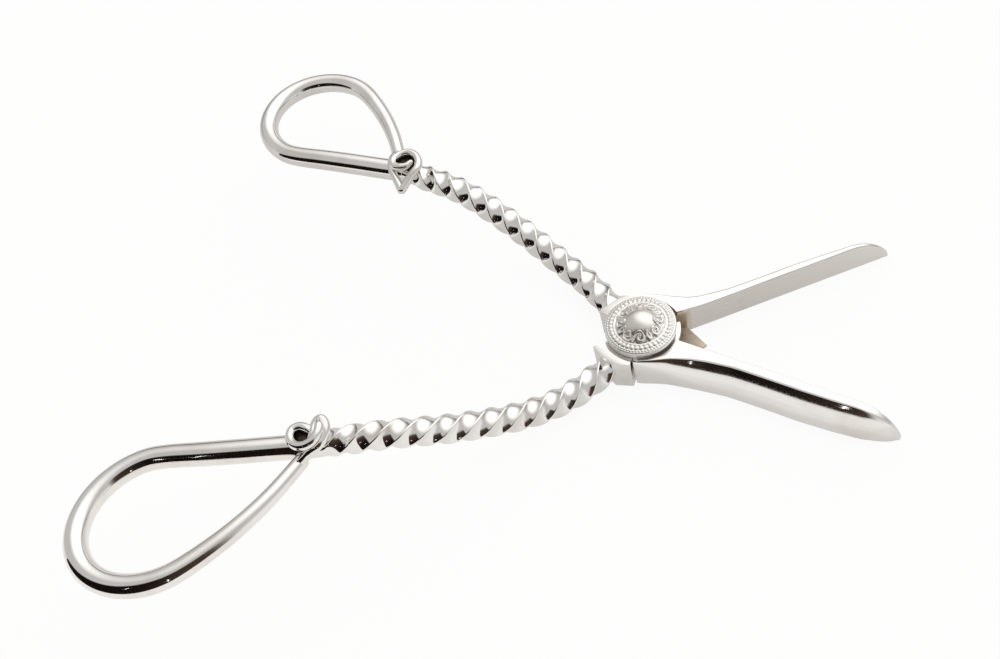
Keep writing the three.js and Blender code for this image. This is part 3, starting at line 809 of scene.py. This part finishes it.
def upperLever():
    # near blade: skin cleared at the root, block, room for the lower half and the lug, upper half, heel, bore
    tall, gap, room, past = (joint[name] for name in ("height", "lapGap", "clearance", "past"))
    flush = joint["flush"]
    piece = bladeSkin("nearBlade", blades["near"])
    roundPivot(piece, joint["rootAngle"]["near"], 360 - joint["shoulderAngle"] + joint["shoulderGap"] / 2)
    joined(piece, handleBlock("add", 1), "UNION")
    joined(piece, disc("cut", joint["plateRadius"] + gap, -past, highBottom), "DIFFERENCE")
    lug = np.array(joint["lug"], float)
    roomy = lug + unit(lug - lug.mean(0)) * joint["lugRoom"]
    for turn in np.radians(np.linspace(joint["opening"], -joint["closing"], joint["lugSwings"])):
        swing = np.array([[math.cos(turn), math.sin(turn)], [-math.sin(turn), math.cos(turn)]])
        joined(piece, prism("cut", roomy @ swing, -past, joint["lugHeight"] + gap), "DIFFERENCE")
    joined(piece, disc("add", joint["plateRadius"], highBottom - flush, tall - 2 * flush), "UNION")
    heel = sector("add", *joint["crotch"], tall - joint["crotchHeight"], tall - 3 * flush)
    joined(piece, heel, "UNION")
    joined(piece, disc("cut", joint["screwRadius"] + room, -past, tall + past), "DIFFERENCE")
    bevelled(piece, joint["softEdge"])
    finishPiece(piece, "far_lever", ["near_blade"],
                [silver, groundSilver("groundNearFace", groundLook, -blades["near"]["angle"]), crotchShade])
    sortFaces(piece, "near")


# rosette: cast button over the pivot, with a dome, a wreath of scrolls and two rows of beads

rosette = {
    "radius": 7.2,
    "wall": [(0, 1.25), (0, 0.55), (0.06, 0.45), (0.12, 0.4)],   # edge to foot: mm in, mm over the underside
    "footEdge": 0.05,           # chamfer under the foot
    "core": 2.2,                # the underside is flat in to this radius
    "seat": 0.06,               # left between the foot and the top of the levers
    "domeRadius": 3.45,
    "dome": (2.65, 1.5),        # where the dome starts over the underside, and its height
    "floor": [[0, 2.65], [3.1, 2.6], [3.7, 2.35], [4.4, 2.07], [5.0, 1.87], [6.1, 1.79], [6.4, 1.73],
              [6.85, 1.59], [7.05, 1.57], [7.15, 1.49], [7.2, 1.3]],   # radius and height, without ornament
    "floorBlend": 0.25,
    "beadRows": [(5.95, 0.52, 0.22, 40), (6.68, 0.27, 0.12, 68)],   # radius, bead half width, height, count
    "ring": (5.25, 0.32, 0.14),   # plain ring inside the beads: radius, half width, height
    "wreath": 4.0,              # radius of the wreath's middle line
    "wreathFade": (2.4, 2.8, 4.95, 5.1),   # radii between which its ridges rise and end
    "ridge": (0.36, 0.4, 0.75), # half width, height and fullness of a ridge
    "turn": -100,               # degrees, where the first scroll pair sits
    "scrolls": 4,               # scroll pairs round the wreath
    "scroll": {"from": 215, "turns": 1.15, "size": (1.18, 0.32), "tighter": 0.8, "apart": 1.32, "flat": 0.95},
    "bud": {"ends": (-0.7, 0.75), "bulge": 0.3, "bend": 1.7},   # leaf between two pairs
    "rows": [(0.12, 3.0, 24), (3.05, 7.0, 124), (7.03, 7.2, 6)],   # rings of the surface: from, to, count
    "columns": 600,
    "sharp": 55,                # degrees
}
polishAndShade = {                   # what the cloth leaves in the rosette, and the painted shadow under its edge
    "turn": 18,                 # degrees from the first scroll pair to where most is left
    "spread": 0.42,             # radians
    "least": 0.2,               # share left on the other side
    "ridge": 0.12,              # mm, rubbed off a ridge from this height
    "groove": (0.74, 0.54),     # mm from a ridge where it starts and is full
    "beads": (0.04, 0.1, 5.4, 6.9),   # share between the beads, bead height, and from and to radius
    "underTurn": -45,           # degrees, the side of the foot where the painted shadow is darkest
    "under": (1.9 / 3, 2.9 / 3),   # cosine of the angle from there where the painted shadow starts and is full
    "underShare": 0.95,
    "paintedShade": 0.2,              # below this share of painted shadow the foot is pale matt silver
}


def scrollDistance(r, angle):
    # distance to an S scroll: two spirals that wind in from one slanting stroke, repeated round the wreath
    middle, spiral, bud = rosette["wreath"], rosette["scroll"], rosette["bud"]
    share = 2 * np.pi / rosette["scrolls"]
    local = (angle - math.radians(rosette["turn"]) + share / 2) % share - share / 2
    u, v = local * middle, r - middle
    wind = np.linspace(0, 1, 80)
    turn = math.radians(spiral["from"]) + wind * 2 * np.pi * spiral["turns"]
    outer, inner = spiral["size"]
    size = outer - (outer - inner) * wind ** spiral["tighter"]
    right = np.stack([spiral["apart"] + size * np.cos(turn), spiral["flat"] * size * np.sin(turn)], 1)
    stroke = np.linspace(right[0], -right[0], 14)
    along = np.linspace(*bud["ends"], 14)
    leaf = np.stack([share * middle / 2 - bud["bulge"] * np.cos(along * bud["bend"]), along], 1)
    best = np.full(u.shape, np.inf)
    for x, y in np.vstack([right, -right, stroke, leaf, leaf * [-1, 1]]):
        best = np.minimum(best, np.hypot(u - x, v - y))
    return best


def rosettePiece():
    # height over a polar grid: dome, dished wreath, ridges, ring and beads; then the wall and the underside
    columns, low = rosette["columns"], joint["height"] + joint["lapGap"]
    r = np.concatenate([np.linspace(*row) for row in rosette["rows"]])
    angle = np.linspace(0, 2 * np.pi, columns, endpoint=False)
    rr, aa = np.meshgrid(r, angle, indexing="ij")
    floor = softInterp(r, rosette["floor"], rosette["floorBlend"])
    start, tall = rosette["dome"]
    dome = start + tall * mound(r, rosette["domeRadius"])
    floor = np.where(r < rosette["domeRadius"], np.maximum(floor, dome), floor)
    apart = scrollDistance(rr, aa)
    rise, full, fall, end = rosette["wreathFade"]
    zone = ramp(rr, rise, full) * ramp(rr, end, fall)
    width, high, fullness = rosette["ridge"]
    ridge = mound(apart, width) ** fullness * high * zone
    ringAt, ringHalf, ringHigh = rosette["ring"]
    ring = ringHigh * mound(rr - ringAt, ringHalf)
    beads = np.zeros_like(rr)
    for row, half, bump, count in rosette["beadRows"]:
        swing = ((aa * count / (2 * np.pi) + 0.5) % 1 - 0.5) * 2 * np.pi / count
        beads = np.maximum(beads, bump * mound(np.hypot(rr - row, row * swing), half))
    height = low + floor[:, None] + ridge + ring + beads
    surface = np.stack([rr * np.cos(aa), rr * np.sin(aa), height], -1)
    wall = np.array(rosette["wall"]) * [-1, 1] + [rosette["radius"], low]
    foot, edge = wall[-1, 0], rosette["footEdge"]
    seat = joint["height"] + rosette["seat"]
    wall = np.vstack([wall, [foot, seat + edge], [foot - edge, seat], [rosette["core"], seat]])
    piece = ringsPiece("rosette", np.concatenate([surface, turnedRings(wall, columns)]))
    piece.data.set_sharp_from_angle(angle=math.radians(rosette["sharp"]))

    # share of old polish at each point in the grooves and between the beads, and of painted shadow under the
    # edge
    most = math.radians(rosette["turn"] + polishAndShade["turn"])
    swing = (aa - most + np.pi) % (2 * np.pi) - np.pi
    least = polishAndShade["least"]
    worn = least + (1 - least) * np.exp(-(swing / polishAndShade["spread"]) ** 2)
    deep = ramp(ridge, polishAndShade["ridge"], 0) * ramp(apart, *polishAndShade["groove"]) * zone * worn
    beadShare, beadHigh, beadFrom, beadTo = polishAndShade["beads"]
    deep = np.maximum(deep, beadShare * ramp(beads, beadHigh, 0) * ((rr > beadFrom) & (rr < beadTo)))
    # painted shadow under the edge of the foot, on one side only
    facing = np.cos(angle - math.radians(polishAndShade["underTurn"]))
    shade = polishAndShade["underShare"] * ramp(facing, *polishAndShade["under"])
    under = np.where(wall[:, :1] < rosette["radius"], shade, 0.0)
    poles = [0, 0]
    mark = piece.data.attributes.new("recess", "FLOAT", "POINT")
    mark.data.foreach_set("value", np.concatenate([deep.ravel(), under.ravel(), poles]).astype(np.float32))
    finishPiece(piece, "near_lever", ["rosette"], [ornamentSilver, dullSilver])
    kind = np.zeros(len(piece.data.polygons), np.int32)
    grid = kind[:(len(r) + len(wall) - 1) * columns].reshape(-1, columns)
    # pale matt silver on the foot where its painted shadow is faint
    grid[len(r) - 1:] = shade < polishAndShade["paintedShade"]
    piece.data.polygons.foreach_set("material_index", kind)
    piece.data.update()


lowerLever()
upperLever()
rosettePiece()
nutPiece()
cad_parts["pivot_screw"].data.materials.clear()
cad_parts["pivot_screw"].data.materials.append(steel)

# studio: pale floor, white tent with a bright side, one dark opening round the camera

studio = {
    "floor": 3.0,               # m across
    "board": "#F4F3F1",
    "boardWhite": (0.9, 1.02),  # share of plain white that the camera sees in it, and its strength
    "boardLift": 0.7,           # share of plain light that the metal sees in it
    "boardLight": "#FCFAF8",
    "floorInMetal": (0.66, 1.0),   # strength of that, close to the shears and further off toward the camera: a painted shadow of the shears, seen in the metal
    "floorFade": (-0.004, -0.045),   # m along y between the two
    "tint": "#FCFBFA",          # of the tent
    "tent": (0.58, 1.40),       # brightness of its walls in the metal, and of its bright side
    "keyTurn": 66,              # degrees from +X to the bright side
    "keyLift": 47,
    "keyEdge": (0.55, 0.97),    # cosine of the angle from its middle where it starts and is full
    "horizon": (-0.40, 0.24),   # near the floor the tent is this much brighter behind and in front
    "horizonRise": (0.38, 0.06),   # upward part of a direction where that starts and is full
    "horizonTurn": (0.7, -0.3),   # part along y of what counts as behind and in front
    "opening": {"x": (-0.75, 0.12), "y": -0.16, "z": (0.012, 0.26)},
    "openingDark": "#130D0B",
    "openingBrown": "#4A3B33",
    "openingTurn": (-0.10, 0.08),   # m along x, from the dark to the brown
    "openingSoft": {"side": 0.08, "low": 0.005, "high": 0.07},   # m, width of its soft borders
    "sparks": {"at": [(-0.109, 0.105), (-0.026, 0.054)], "y": -0.158, "size": (0.002, 0.03),
               "strength": 2.5},   # bright slits in the opening: places in x and z
}


def floorMaterial():
    # matt white board: white to the camera, pale grey in the metal with a painted shadow close to the shears,
    # a faint real shadow kept
    material, tree = newMaterial("paleBoard")
    path = addNode(tree, "LightPath")
    board = addNode(tree, "BsdfDiffuse", {"Color": linear(studio["board"])})
    whiteShare, strength = studio["boardWhite"]
    white = addNode(tree, "Emission", {"Color": (1, 1, 1, 1), "Strength": strength})
    place = addNode(tree, "TexCoord").outputs["Object"]
    split = addNode(tree, "SeparateXYZ", {}, {"Vector": place})
    # painted shadow: the floor in the metal is darker close to the shears
    level = addNode(tree, "MapRange", {"range": studio["floorFade"] + studio["floorInMetal"]},
                    {"Value": split.outputs["Y"]})
    pale = addNode(tree, "Emission", {"Color": linear(studio["boardLight"])}, {"Strength": level})
    seen = addNode(tree, "MixShader", {"Fac": whiteShare}, {1: board, 2: white})
    lifted = addNode(tree, "MixShader", {"Fac": studio["boardLift"]}, {1: board, 2: pale})
    metal = addNode(tree, "MixShader", {}, {"Fac": path.outputs["Is Glossy Ray"], 1: board, 2: lifted})
    both = addNode(tree, "MixShader", {}, {"Fac": path.outputs["Is Camera Ray"], 1: metal, 2: seen})
    addNode(tree, "OutputMaterial", {}, {"Surface": both})
    return material


def openingMaterial():
    # the room behind the camera: near black on the left, brown to the right, fading out at its borders
    material, tree = newMaterial("darkOpening")
    place = addNode(tree, "TexCoord").outputs["Object"]
    split = addNode(tree, "SeparateXYZ", {}, {"Vector": place})

    def fade(axis, start, end):
        settings = {"interpolation_type": "SMOOTHSTEP", "range": (start, end)}
        return addNode(tree, "MapRange", settings, {"Value": split.outputs[axis]})

    dark, brown = (linear(studio[name]) for name in ("openingDark", "openingBrown"))
    colour = addNode(tree, "Mix", {"data_type": "RGBA", 6: dark, 7: brown},
                     {0: fade("X", *studio["openingTurn"])})
    glow = addNode(tree, "Emission", {"Strength": 1.0}, {"Color": colour})
    clear = addNode(tree, "BsdfTransparent")
    x, z, soft = studio["opening"]["x"], studio["opening"]["z"], studio["openingSoft"]
    cover = fade("Z", z[0], z[0] + soft["low"])
    for border in (("Z", z[1], z[1] - soft["high"]), ("X", x[0], x[0] + soft["side"]),
                   ("X", x[1], x[1] - soft["side"])):
        cover = addNode(tree, "Math", {"operation": "MULTIPLY"}, {0: cover, 1: fade(*border)})
    mixed = addNode(tree, "MixShader", {}, {"Fac": cover, 1: clear, 2: glow})
    addNode(tree, "OutputMaterial", {}, {"Surface": mixed})
    return material


def sparkMaterial():
    # a bright gap in the opening, seen in the metal as pin-point glints
    material, tree = newMaterial("brightGap")
    glow = addNode(tree, "Emission", {"Color": (1, 1, 1, 1), "Strength": studio["sparks"]["strength"]})
    addNode(tree, "OutputMaterial", {}, {"Surface": glow})
    return material


def studioPlane(name, corners, material):
    mesh = bpy.data.meshes.new(name)
    mesh.from_pydata(corners, [], [[0, 1, 2, 3]])
    mesh.materials.append(material)
    plane = bpy.data.objects.new(name, mesh)
    bpy.context.scene.collection.objects.link(plane)
    return plane


def reflectedCard(name, x, y, z, material):
    # upright plane that only reflections see
    corners = [(x[0], y, z[0]), (x[1], y, z[0]), (x[1], y, z[1]), (x[0], y, z[1])]
    card = studioPlane(name, corners, material)
    for ray in ("camera", "diffuse", "shadow", "transmission", "volume_scatter"):
        setattr(card, "visible_" + ray, False)


def tentWorld():
    # white tent all round: even walls, one bright side, a horizon that differs behind and in front
    world = bpy.data.worlds.new("whiteTent")
    bpy.context.scene.world = world
    world.use_nodes = True
    sky = world.node_tree
    sky.nodes.clear()
    lift, swing = math.radians(studio["keyLift"]), math.radians(studio["keyTurn"])
    toKey = (math.cos(swing) * math.cos(lift), math.sin(swing) * math.cos(lift), math.sin(lift))
    way = addNode(sky, "TexCoord").outputs["Generated"]
    facing = addNode(sky, "VectorMath", {"operation": "DOT_PRODUCT", 1: toKey}, {0: way})
    level = addNode(sky, "MapRange",
                    {"interpolation_type": "SMOOTHSTEP", "range": studio["keyEdge"] + studio["tent"]},
                    {"Value": facing})
    split = addNode(sky, "SeparateXYZ", {}, {"Vector": way})
    low = addNode(sky, "MapRange", {"interpolation_type": "SMOOTHSTEP", "range": studio["horizonRise"]},
                  {"Value": split.outputs["Z"]})
    front = addNode(sky, "MapRange", {"range": studio["horizonTurn"] + studio["horizon"]},
                    {"Value": split.outputs["Y"]})
    bright = addNode(sky, "Math", {"operation": "MULTIPLY_ADD"}, {0: low, 1: front, 2: level})
    tent = addNode(sky, "Background", {"Color": linear(studio["tint"])}, {"Strength": bright})
    blank = addNode(sky, "Background", {"Color": (1, 1, 1, 1), "Strength": 1.0})
    path = addNode(sky, "LightPath")
    mixed = addNode(sky, "MixShader", {}, {"Fac": path.outputs["Is Camera Ray"], 1: tent, 2: blank})
    addNode(sky, "OutputWorld", {}, {"Surface": mixed})


half = studio["floor"] / 2
square = [(-half, -half, 0), (half, -half, 0), (half, half, 0), (-half, half, 0)]
studioPlane("floor", square, floorMaterial())
reflectedCard("tentOpening", *(studio["opening"][k] for k in "xyz"), openingMaterial())
wide, tall = (size / 2 for size in studio["sparks"]["size"])
for number, (x, z) in enumerate(studio["sparks"]["at"]):
    reflectedCard(f"tentGap{number + 1}", (x - wide, x + wide), studio["sparks"]["y"], (z - tall, z + tall),
                  sparkMaterial())
tentWorld()

# camera at the photograph's place

view = {
    "focal": 997.0,             # pixels
    "imageWidth": 1000,         # pixels
    "sensor": 36,               # mm
    "turn": 27.63,              # degrees
    "lift": 51.04,
    "roll": -20.34,
    "distance": 218.3,          # mm from the point looked at
    "target": (-32.3, 4.4, 0),
    "clipStart": 0.01,          # m
}


def photoCamera():
    # looks at the target from its turn, lift and distance, rolled about the line of sight
    camera = bpy.data.objects.new("camera", bpy.data.cameras.new("camera"))
    bpy.context.scene.collection.objects.link(camera)
    camera.data.sensor_width = view["sensor"]
    camera.data.lens = view["focal"] / view["imageWidth"] * view["sensor"]
    camera.data.clip_start = view["clipStart"]
    a, e, roll = (math.radians(view[k]) for k in ("turn", "lift", "roll"))
    back = np.array([math.sin(a) * math.cos(e), -math.cos(a) * math.cos(e), math.sin(e)])
    flatRight = np.array([math.cos(a), math.sin(a), 0])
    flatUp = np.cross(back, flatRight)
    right = flatRight * math.cos(roll) + flatUp * math.sin(roll)
    up = np.cross(back, right)
    spot = (np.array(view["target"]) + back * view["distance"]) * mm
    camera.matrix_world = Matrix(np.vstack([np.c_[right, up, back, spot], [0, 0, 0, 1]]).tolist())
    bpy.context.scene.camera = camera


photoCamera()
bpy.context.scene.view_settings.view_transform = "Standard"
report("studio done")
